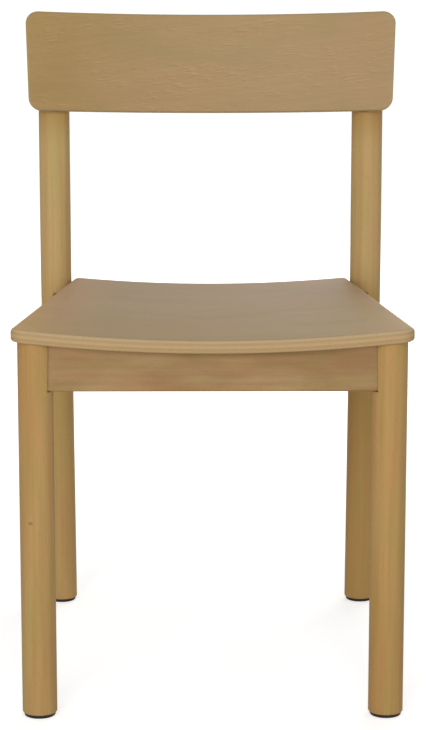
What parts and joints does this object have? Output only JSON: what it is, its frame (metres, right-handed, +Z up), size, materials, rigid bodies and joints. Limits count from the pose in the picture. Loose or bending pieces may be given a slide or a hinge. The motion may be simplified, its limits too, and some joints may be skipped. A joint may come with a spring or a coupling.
{
  "type": "side chair",
  "caption": "Wooden side chair with round legs, a hollowed bent plywood seat and a curved plywood backrest board on two back posts.",
  "frame": {"origin": "on the floor under the middle of the chair's overall width and length", "axes": "+Z up, -Y towards the front of the chair where the sitter's knees are, +X to the right of someone who faces the chair"},
  "size_m": [0.474, 0.5256, 0.786],
  "materials": {
    "turned_beech": "clear satin lacquer over straight-grained beech, turned round",
    "rail_beech": "clear satin lacquer over sawn and planed beech, a little darker",
    "bent_plywood": "clear satin lacquer over bent plywood with an oak face veneer and bare ply edges",
    "block_beech": "planed beech, unlacquered",
    "dowel_beech": "turned beech",
    "zinc_plated_steel": "zinc plated",
    "brass_insert": "machined",
    "black_nylon": "moulded, matt"
  },
  "bodies": {
    "root": {"front_left_leg": "turned_beech", "front_right_leg": "turned_beech", "back_left_post": "turned_beech", "back_right_post": "turned_beech", "front_rail": "rail_beech", "back_rail": "rail_beech", "left_side_rail": "rail_beech", "right_side_rail": "rail_beech", "seat_panel": "bent_plywood", "backrest_board": "bent_plywood", "front_left_corner_block": "block_beech", "front_right_corner_block": "block_beech", "back_left_corner_block": "block_beech", "back_right_corner_block": "block_beech", "front_rail_dowels": "dowel_beech", "back_rail_dowels": "dowel_beech", "left_side_rail_dowels": "dowel_beech", "right_side_rail_dowels": "dowel_beech", "corner_block_screws": "zinc_plated_steel", "seat_screws": "zinc_plated_steel", "seat_washers": "zinc_plated_steel", "seat_inserts": "brass_insert", "backrest_bolts": "zinc_plated_steel", "backrest_washers": "zinc_plated_steel", "backrest_inserts": "brass_insert", "backrest_plugs": "dowel_beech", "front_left_glide": "black_nylon", "front_right_glide": "black_nylon", "back_left_glide": "black_nylon", "back_right_glide": "black_nylon", "glide_nails": "zinc_plated_steel"}
  },
  "joints": []
}
